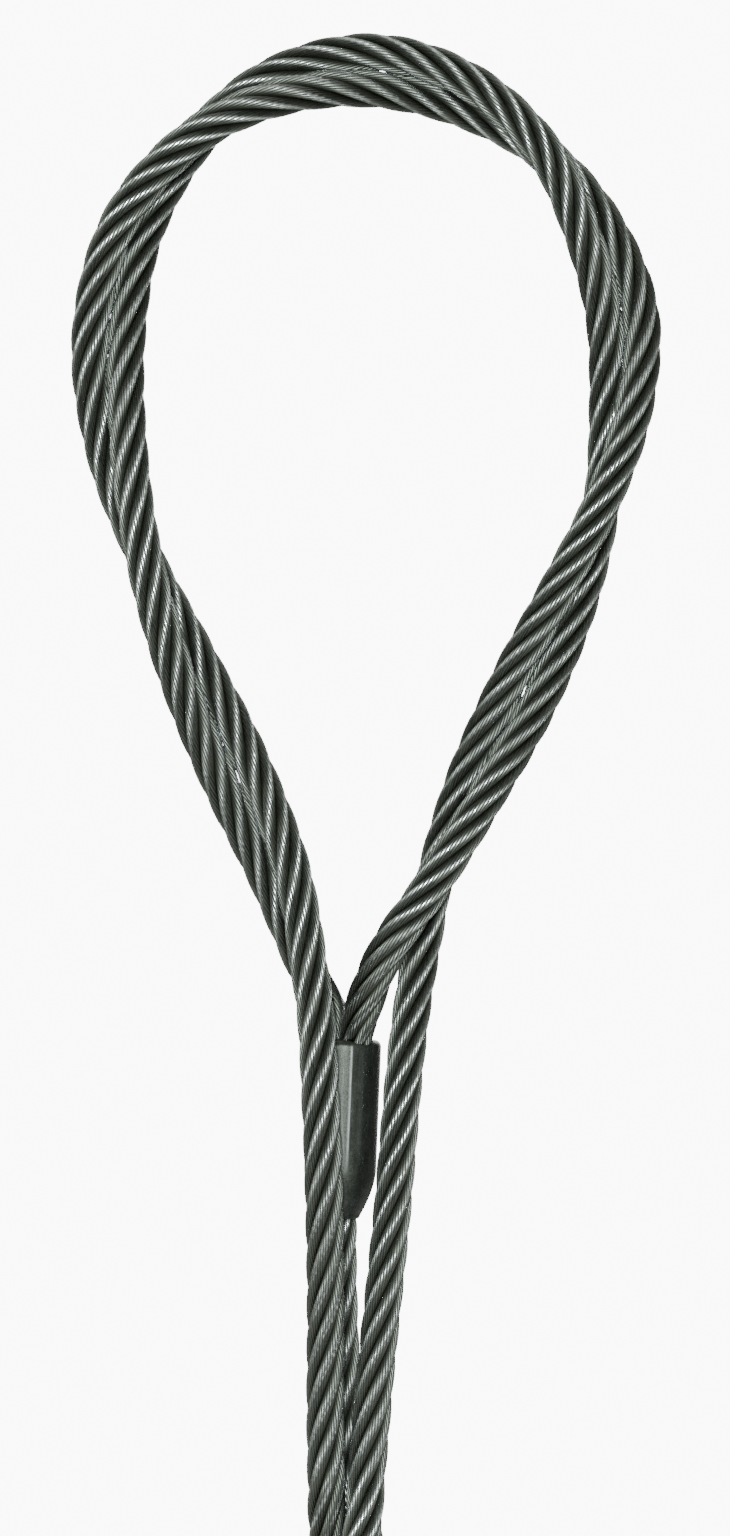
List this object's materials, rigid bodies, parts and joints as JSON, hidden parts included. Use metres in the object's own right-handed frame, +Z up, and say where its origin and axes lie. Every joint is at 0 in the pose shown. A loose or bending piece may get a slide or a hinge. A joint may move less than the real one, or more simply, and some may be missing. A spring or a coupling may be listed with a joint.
{
  "type": "wire rope sling eye",
  "caption": "Soft eye of a three-part wire rope sling: two twisted steel ropes form a teardrop loop for a hook or shackle, closed by a swaged steel sleeve.",
  "frame": {"origin": "seat inside the crown of the eye, where a hook or shackle bears on the ropes; the part hangs from it", "axes": "+Z up along the sling through the crown, +X across the eye to its right leg, +Y through the eye towards the sleeve's side; the front faces -Y"},
  "size_m": [0.1443, 0.0266, 0.3849],
  "materials": {
    "rope_steel": "bright drawn wire under a thin dark oil film, black in the valleys between strands",
    "core_steel": "oiled drawn wire",
    "sleeve_steel": "matt dark steel from the swaging die, with a faint flash line",
    "seizing_steel": "soft annealed wire"
  },
  "bodies": {
    "root": {"rope_a_strand_1": "rope_steel", "rope_a_strand_2": "rope_steel", "rope_a_strand_3": "rope_steel", "rope_a_strand_4": "rope_steel", "rope_a_strand_5": "rope_steel", "rope_a_strand_6": "rope_steel", "rope_a_core": "core_steel", "rope_b_strand_1": "rope_steel", "rope_b_strand_2": "rope_steel", "rope_b_strand_3": "rope_steel", "rope_b_strand_4": "rope_steel", "rope_b_strand_5": "rope_steel", "rope_b_strand_6": "rope_steel", "rope_b_core": "core_steel", "swaged_sleeve": "sleeve_steel", "seizing_wire": "seizing_steel"}
  },
  "joints": []
}
